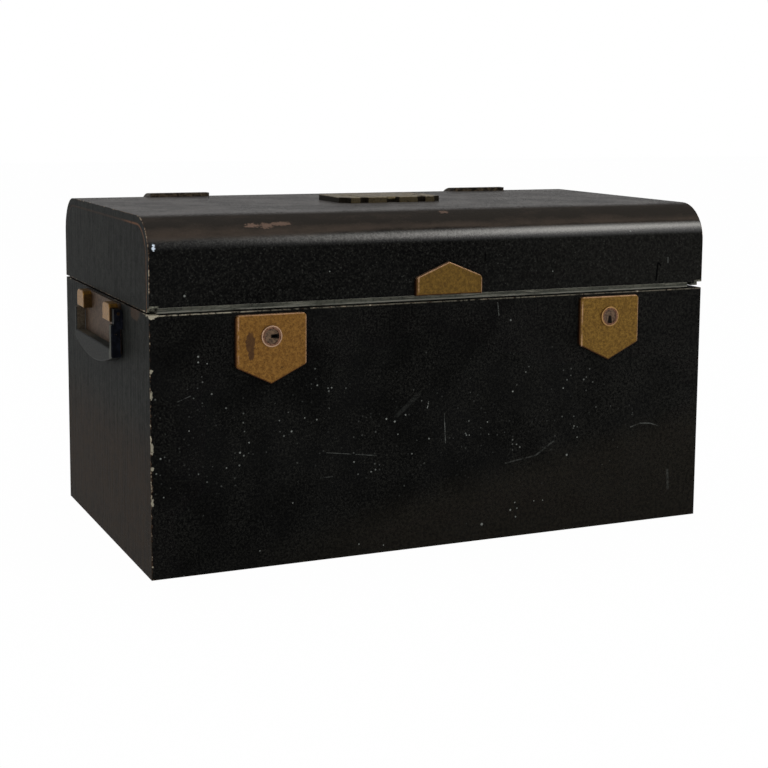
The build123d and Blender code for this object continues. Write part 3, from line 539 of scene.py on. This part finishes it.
def shield_edge_light(node, point, width=1.5 * MM):
    """Painted highlight on the top and right edges and just inside the left edge, and painted shade
    on the left and bottom edges, of a plate on the front.
    """
    low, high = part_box(node)
    middle = (low.x + high.x) / 2

    def outline(finish):
        slope = point / ((high.x - low.x) / 2)
        lean = 1 / math.hypot(1, slope)
        from_middle = abs(finish.x - middle)
        left = finish.x - low.x
        right = high.x - finish.x
        if node == "lift_tab":
            top = (high.z - point + ((high.x - middle) - from_middle) * slope - finish.z) * lean
            bottom = finish.z - low.z
        else:
            top = high.z - finish.z
            bottom = (finish.z - (low.z + point) + ((high.x - middle) - from_middle) * slope) * lean
        breakup = finish.cloud(6 * MM, 4.0, 0.75).rise(0.36, 0.56)
        lit_edges = top.least(right).rise(width * 0.8, width * 0.2)
        inner_highlight = abs(left - 1.4 * width).rise(0.5 * width, 0.2 * width) * breakup * 0.7
        shaded_edges = left.least(bottom).rise(width * 0.9, width * 0.3)
        return lit_edges.most(inner_highlight) * (0.5 + breakup * 0.5), shaded_edges

    return outline


GOLD = shade(128, 92, 42)
GOLD_DULL = shade(100, 68, 28)
GOLD_STAIN = shade(62, 42, 22)
EDGE_HIGHLIGHT = shade(190, 152, 122)
EDGE_SHADE = shade(50, 24, 15)
SCALLOP_SPACING = 25 * MM
LUG_LENGTH = 21.5 * MM


def left_plate_spots(finish, _mottle):
    """A tall ragged stain near the plate's left edge."""
    low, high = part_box("left_lock_plate")
    ragged = finish.cloud(2.4 * MM, 4.0, 0.75)
    tall = finish.patch((low.x + 11.0 * MM, high.z - 20.0 * MM), (3.6 * MM, 7.5 * MM), "xz", ragged)
    tail = finish.patch((low.x + 11.5 * MM, high.z - 28.0 * MM), (2.2 * MM, 4.5 * MM), "xz", ragged)
    return tall.most(tail), 0.7, shade(58, 40, 32)


def top_plate_edges(finish, mottle):
    """The plate's hollow corners, scallops and left edge are nearly black."""
    low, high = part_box("top_handle_plate")
    front = finish.y - low.y
    below = (high.z - finish.z).rise(0.2 * MM, 0.6 * MM)
    dark = (finish.x - low.x).rise(0.9 * MM, 0.2 * MM) * below
    middle = (low.x + high.x) / 2
    scoops = [(low.x, 7), (high.x, 7), (middle, 5)]
    scoops += [(middle - SCALLOP_SPACING, 3), (middle + SCALLOP_SPACING, 3)]
    for place, radius in scoops:
        across = finish.x - place
        reach = (across * across + front * front) ** 0.5
        dark = dark.most(reach.rise((radius + 1.0) * MM, (radius + 0.3) * MM))
    return dark.most(below * mottle.rise(0.35, 0.6) * 0.7), 0.92, shade(16, 11, 8)


def lug_sides(finish, _mottle):
    """The lugs' front-facing ends are darker."""
    low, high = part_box("left_handle_lugs")
    front = (finish.y - low.y).rise(0.8 * MM, 0.2 * MM)
    rear = abs(finish.y - (high.y - LUG_LENGTH)).rise(0.8 * MM, 0.2 * MM)
    return front.most(rear * 0.85), 0.92, shade(30, 20, 11)


def case_wood():
    finish = Finish("case_underside", Specular_IOR_Level=0.3)
    grain = finish.cloud(6 * MM, 5.0, 0.65, (0.06, 1, 1))
    colour = finish.mix(grain.rise(0.3, 0.7), shade(70, 50, 34), shade(108, 82, 58))
    return finish.done(colour, 0.62 + grain * 0.15, finish.bump(grain, 0.2 * MM, 0.5))


THREADS_PER_METRE = 260.0


def lining_cloth():
    finish = Finish("lining_cloth", Specular_IOR_Level=0.2, Sheen_Weight=0.3)
    threads = {"Vector": finish.place, "Scale": THREADS_PER_METRE}
    weave_x = finish.node("ShaderNodeTexWave", {"bands_direction": "X"}, threads)
    weave_y = finish.node("ShaderNodeTexWave", {"bands_direction": "Y"}, threads)
    weave = weave_x.least(weave_y)
    wear = finish.cloud(40 * MM, 5.0, 0.6)
    colour = finish.mix(wear.rise(0.35, 0.7), shade(92, 26, 26), shade(126, 48, 42))
    colour = finish.mix(weave * 0.35, colour, shade(60, 18, 18))
    return finish.done(colour, 0.85, finish.bump(weave, 0.25 * MM, 0.6))


def from_lock(finish, side):
    """A point's offsets from the middle of one lock, and the radius of the lock's ring."""
    low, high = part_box(f"{side}_lock_barrel")
    across = finish.x - (low.x + high.x) / 2
    above = finish.z - (low.z + high.z) / 2
    return across, above, (high.x - low.x) / 2


# The ring's outer edge takes a painted highlight from this share of its radius
RING_HIGHLIGHT_FROM = 0.87  # share of the ring's radius
PLUG_SHADED = (-127 * MM, -130.5 * MM)  # the plug darkens from its face inwards
KEYHOLE_START = (-1.2 * MM, -0.4 * MM)
KEYHOLE_END = (6.2 * MM, 5.4 * MM)


def ring_metal(side):
    finish = Finish(f"{side}_ring_metal", Metallic=1.0)
    fine = finish.cloud(1.2 * MM, 4.0, 0.65)
    across, above, radius = from_lock(finish, side)
    reach = (across * across + above * above) ** 0.5
    # Painted highlight round the ring's outer edge
    beyond = reach - radius * RING_HIGHLIGHT_FROM
    lit_outer = (beyond - (fine - 0.5) * (1.6 * MM)).rise(-0.2 * MM, 0.4 * MM)
    colour = finish.mix(fine.rise(0.4, 0.7), shade(112, 82, 66), shade(66, 46, 36))
    rim_highlight = shade(180, 150, 124) if side == "left" else shade(170, 134, 82)
    colour = finish.mix(lit_outer * (0.45 + fine.rise(0.35, 0.6) * 0.45), colour, rim_highlight)
    return finish.done(colour, 0.30 + fine * 0.2, finish.bump(fine, 0.05 * MM, 0.4))


def plug_metal(side):
    finish = Finish(f"{side}_plug_metal", Metallic=0.85)
    fine = finish.cloud(1.4 * MM, 4.0, 0.65)
    across, above, _ = from_lock(finish, side)
    front = finish.y.rise(*PLUG_SHADED)
    colour = finish.mix(fine.rise(0.35, 0.7), shade(104, 84, 66), shade(56, 44, 36))
    if side == "right":
        across, above = 0 - above, across
    # Painted shade in the keyhole: its slot is darkened to near black
    keyhole_shade = (abs(above) * 2.2 - across * 0.3).rise(3.4 * MM, 2.4 * MM)
    keyhole_shade = keyhole_shade * across.rise(*KEYHOLE_START) * across.rise(*KEYHOLE_END)
    colour = finish.mix(keyhole_shade * 0.9, colour, shade(10, 8, 7))
    colour = finish.mix(1 - front, colour, shade(14, 12, 11))
    rough = 0.38 + fine * 0.2 + keyhole_shade * 0.4
    return finish.done(colour, rough, finish.bump(fine, 0.05 * MM, 0.4))


def lock_steel():
    finish = Finish("lock_steel", Metallic=0.9)
    fine = finish.cloud(2.0 * MM, 4.0, 0.65, (0.2, 1, 1))
    rust = finish.cloud(9 * MM, 5.0, 0.7).rise(0.56, 0.7)
    colour = finish.mix(fine.rise(0.35, 0.7), shade(120, 116, 110), shade(84, 80, 76))
    colour = finish.mix(rust * 0.7, colour, shade(96, 62, 40))
    rough = 0.40 + fine * 0.2 + rust * 0.2
    return finish.done(colour, rough, finish.bump(fine + rust, 0.08 * MM, 0.4))


def bail_paint():
    finish = Finish("bail_paint", Specular_IOR_Level=0.03)
    low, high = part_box("left_handle_bail")
    fine = finish.cloud(1.8 * MM, 4.0, 0.7)
    broad = finish.cloud(9 * MM, 4.0, 0.65)
    lit_outer = abs(finish.x).rise(-low.x - 1.2 * MM, -low.x - 0.3 * MM)
    shaded_front = (finish.y - low.y).rise(1.2 * MM, 0.4 * MM)
    dark = finish.mix(broad.rise(0.4, 0.65), shade(10, 11, 16), shade(24, 26, 34))
    sheen_grey = finish.mix(fine.rise(0.35, 0.65), PANEL_DARK, PANEL_SHEEN_GREY)
    far_arm_brown = finish.mix(fine.rise(0.35, 0.65), shade(84, 72, 58), shade(112, 98, 80))
    # The far arm is brown grey inside; the rest starts from the end boards' painted sheen grey
    colour = finish.mix(finish.y.rise(0.0, 0.03) * 0.6, sheen_grey, far_arm_brown)
    height = finish.z - low.z
    # Painted light: the grip's upward-facing top is lighter
    grip_top = height.rise(10 * MM, 12 * MM) * height.rise(22 * MM, 20 * MM)
    grip_top = grip_top * finish.y.rise(high.y - 5 * MM, high.y - 7 * MM)
    colour = finish.mix(grip_top * 0.35, colour, shade(62, 62, 57))
    # Painted sheen: the outer faces take the end boards' lighter grey
    colour = finish.mix(lit_outer, colour, sheen_grey)
    # Painted highlight: a light strip along the front arm's outer face
    highlight_strip = lit_outer * finish.y.rise(low.y + 8 * MM, low.y + 6 * MM)
    colour = finish.mix(highlight_strip * 0.6, colour, shade(84, 84, 76))
    # Painted shade: the front arm's front-facing side is the blackest, a dark blue black
    colour = finish.mix(shaded_front, colour, dark)
    chips = finish.cloud(3.4 * MM, 4.0, 0.75).rise(0.64, 0.7)
    colour = finish.mix(chips * 0.5, colour, shade(96, 80, 62))
    rough = 0.45 + fine * 0.2 + chips * 0.2
    return finish.done(colour, rough, finish.bump(fine + broad * 0.5, 0.15 * MM, 0.5))


def set_material(names, material):
    """Give the named pieces this material alone."""
    for name in names:
        data = nodes[name].data
        data.materials.clear()
        data.materials.append(material)
        for face in data.polygons:
            face.material_index = 0


set_material(["base_front", "base_back", "base_left_end", "base_right_end"], case_paint())
set_material(["base_floor"], case_wood())
set_material(["lid_shell", "lid_left_end", "lid_right_end"], lid_paint())
set_material(["front_liner", "back_liner", "left_liner", "right_liner"], lip_paint())
set_material(["floor_lining", "lid_lining"], lining_cloth())
set_material(["left_lock_plate"], brass(
    "left_shield_brass", GOLD, GOLD_DULL, GOLD_STAIN, 0.30, spots=left_plate_spots,
    outline=shield_edge_light("left_lock_plate", 13 * MM), pale=EDGE_HIGHLIGHT, dark=EDGE_SHADE))
set_material(["right_lock_plate"], brass(
    "right_shield_brass", shade(122, 93, 40), shade(92, 67, 26), GOLD_STAIN, 0.34,
    outline=shield_edge_light("right_lock_plate", 13 * MM), pale=EDGE_HIGHLIGHT, dark=EDGE_SHADE))
set_material(["lift_tab"], brass(
    "tab_brass", shade(108, 82, 34), shade(82, 61, 24), GOLD_STAIN, 0.30,
    outline=shield_edge_light("lift_tab", 11.2 * MM), pale=EDGE_HIGHLIGHT, dark=EDGE_SHADE))
steel = lock_steel()
for side in SIDES:
    set_material([f"{side}_lock_barrel"], ring_metal(side))
    set_material([f"{side}_lock_plug"], plug_metal(side))
    set_material([f"{side}_lock_case", f"{side}_lock_bolt", f"{side}_strike"], steel)
set_material(["left_hinge_lid_strap", "right_hinge_lid_strap"], brass(
    "strap_brass", shade(92, 80, 64), shade(28, 26, 24), shade(12, 12, 12), 0.50, roughness=0.55))
dark_brass = brass(
    "leaf_brass", shade(98, 80, 50), shade(54, 44, 30), shade(30, 25, 20), 0.4, roughness=0.5)
set_material(["left_hinge_base_leaf", "right_hinge_base_leaf"], dark_brass)
set_material(["left_hinge_pin", "right_hinge_pin"], dark_brass)
fixings = brass("screw_brass", shade(122, 98, 58), shade(78, 60, 34), shade(40, 30, 20), 0.35)
set_material(
    ["lid_hinge_screws", "base_hinge_screws", "top_handle_screws", "strike_screws"], fixings)
set_material(["left_handle_plate", "right_handle_plate"], brass(
    "side_plate_brass", shade(84, 66, 50), shade(56, 43, 32), shade(34, 26, 19), 0.4,
    roughness=0.6))
lug_brass = brass(
    "lug_brass", shade(140, 102, 42), shade(106, 74, 28), shade(60, 42, 20), 0.34, spots=lug_sides)
set_material(["left_handle_lugs", "right_handle_lugs"], lug_brass)
set_material(["left_handle_pins", "right_handle_pins"], lug_brass)
set_material(["left_handle_bail", "right_handle_bail"], bail_paint())
set_material(["top_handle_plate"], brass(
    "top_plate_brass", shade(128, 115, 88), shade(66, 57, 39), shade(34, 29, 21), 0.42,
    roughness=0.5, spots=top_plate_edges))
set_material(["top_handle_posts", "top_handle_pins", "top_handle_bail"], brass(
    "top_bail_brass", shade(140, 126, 96), shade(80, 70, 48), shade(38, 32, 23), 0.42,
    roughness=0.5))


# ---------------------------------------------------------------- stage
bpy.ops.object.select_all(action="DESELECT")
scene = bpy.context.scene
scene.view_settings.view_transform = "Standard"

FLOOR_SIZE = 14
bpy.ops.mesh.primitive_plane_add(size=FLOOR_SIZE, location=(0, 0, 0))
floor = bpy.context.object
floor.name = "studio_floor"


def glows(tree):
    """1 for rays from the camera and for mirror and clear rays."""
    path = tree.nodes.new("ShaderNodeLightPath")
    total = tree.nodes.new("ShaderNodeMath")
    total.operation = "ADD"
    total.use_clamp = True
    tree.links.new(path.outputs["Is Camera Ray"], total.inputs[0])
    tree.links.new(path.outputs["Is Glossy Ray"], total.inputs[1])
    both = tree.nodes.new("ShaderNodeMath")
    both.operation = "ADD"
    both.use_clamp = True
    tree.links.new(total.outputs[0], both.inputs[0])
    tree.links.new(path.outputs["Is Transmission Ray"], both.inputs[1])
    return both.outputs[0]


FLOOR_GLOW = 0.985  # share of the floor's own white; the rest takes light and shadow
FLOOR_PALE = (0.95, 0.95, 0.95, 1)
floor_finish = bpy.data.materials.new("studio_floor")
floor_finish.use_nodes = True
tree = floor_finish.node_tree
matt = tree.nodes["Principled BSDF"]
matt.inputs["Base Color"].default_value = FLOOR_PALE
matt.inputs["Roughness"].default_value = 1.0
matt.inputs["Specular IOR Level"].default_value = 0.0
light = tree.nodes.new("ShaderNodeEmission")
light.inputs["Strength"].default_value = 1.0
share = tree.nodes.new("ShaderNodeMath")
share.operation = "MULTIPLY"
share.inputs[1].default_value = FLOOR_GLOW
tree.links.new(glows(tree), share.inputs[0])
mixer = tree.nodes.new("ShaderNodeMixShader")
tree.links.new(share.outputs[0], mixer.inputs[0])
tree.links.new(matt.outputs[0], mixer.inputs[1])
tree.links.new(light.outputs[0], mixer.inputs[2])
tree.links.new(mixer.outputs[0], tree.nodes["Material Output"].inputs[0])
floor.data.materials.append(floor_finish)

world = bpy.data.worlds.new("studio")
scene.world = world
world.use_nodes = True
tree = world.node_tree
backdrop = tree.nodes["Background"]
backdrop.inputs["Strength"].default_value = 1.0
aim = tree.nodes.new("ShaderNodeTexCoord")
height = tree.nodes.new("ShaderNodeSeparateXYZ")
ceiling = tree.nodes.new("ShaderNodeValToRGB")
# The room is white up to a height and darker overhead, so the lid's top mirrors less light
WHITE = (1, 1, 1, 1)
OVERHEAD = (0.22, 0.22, 0.23, 1)
wall, overhead = ceiling.color_ramp.elements
wall.position, wall.color = 0.34, WHITE
overhead.position, overhead.color = 0.62, OVERHEAD
tree.links.new(aim.outputs["Generated"], height.inputs[0])
tree.links.new(height.outputs["Z"], ceiling.inputs[0])
seen = tree.nodes.new("ShaderNodeLightPath")
sky = tree.nodes.new("ShaderNodeMix")
sky.data_type = "RGBA"
sky.inputs[7].default_value = WHITE
tree.links.new(seen.outputs["Is Camera Ray"], sky.inputs[0])
tree.links.new(ceiling.outputs[0], sky.inputs[6])
tree.links.new(sky.outputs[2], backdrop.inputs["Color"])
room = tree.nodes.new("ShaderNodeBackground")
ROOM_TINT = (0.9, 0.95, 1.0, 1)
ROOM_STRENGTH = 0.55
room.inputs["Color"].default_value = ROOM_TINT
room.inputs["Strength"].default_value = ROOM_STRENGTH
mixer = tree.nodes.new("ShaderNodeMixShader")
tree.links.new(glows(tree), mixer.inputs[0])
tree.links.new(room.outputs[0], mixer.inputs[1])
tree.links.new(backdrop.outputs[0], mixer.inputs[2])
tree.links.new(mixer.outputs[0], tree.nodes["World Output"].inputs[0])


def softbox(name, place, target, size, power, tint=(1, 1, 1)):
    """A rectangular studio light aimed at a point."""
    lamp = bpy.data.lights.new(name, "AREA")
    lamp.shape = "RECTANGLE"
    lamp.size, lamp.size_y = size
    lamp.energy = power
    lamp.color = tint
    holder = bpy.data.objects.new(name, lamp)
    scene.collection.objects.link(holder)
    holder.location = place
    aim = Vector(target) - Vector(place)
    holder.rotation_euler = aim.to_track_quat("-Z", "Y").to_euler()


WARM_LIGHT = (1.0, 0.97, 0.91)
softbox("key_light", (0.75, -0.95, 1.15), (0.05, -0.05, 0.15), (1.0, 0.5), 6, WARM_LIGHT)
softbox("top_light", (0.2, 0.4, 1.9), (0, 0, 0.15), (0.9, 0.9), 8)
softbox("side_light", (-1.8, -0.6, 0.9), (0, 0, 0.1), (0.8, 0.8), 5)

camera_data = bpy.data.cameras.new("camera")
camera_data.sensor_width = CAMERA_SENSOR
camera_data.lens = CAMERA_LENS
camera_data.shift_y = CAMERA_SHIFT
camera = bpy.data.objects.new("camera", camera_data)
scene.collection.objects.link(camera)
camera.location = CAMERA_PLACE
camera.rotation_euler = CAMERA_TURN.to_euler()
scene.camera = camera
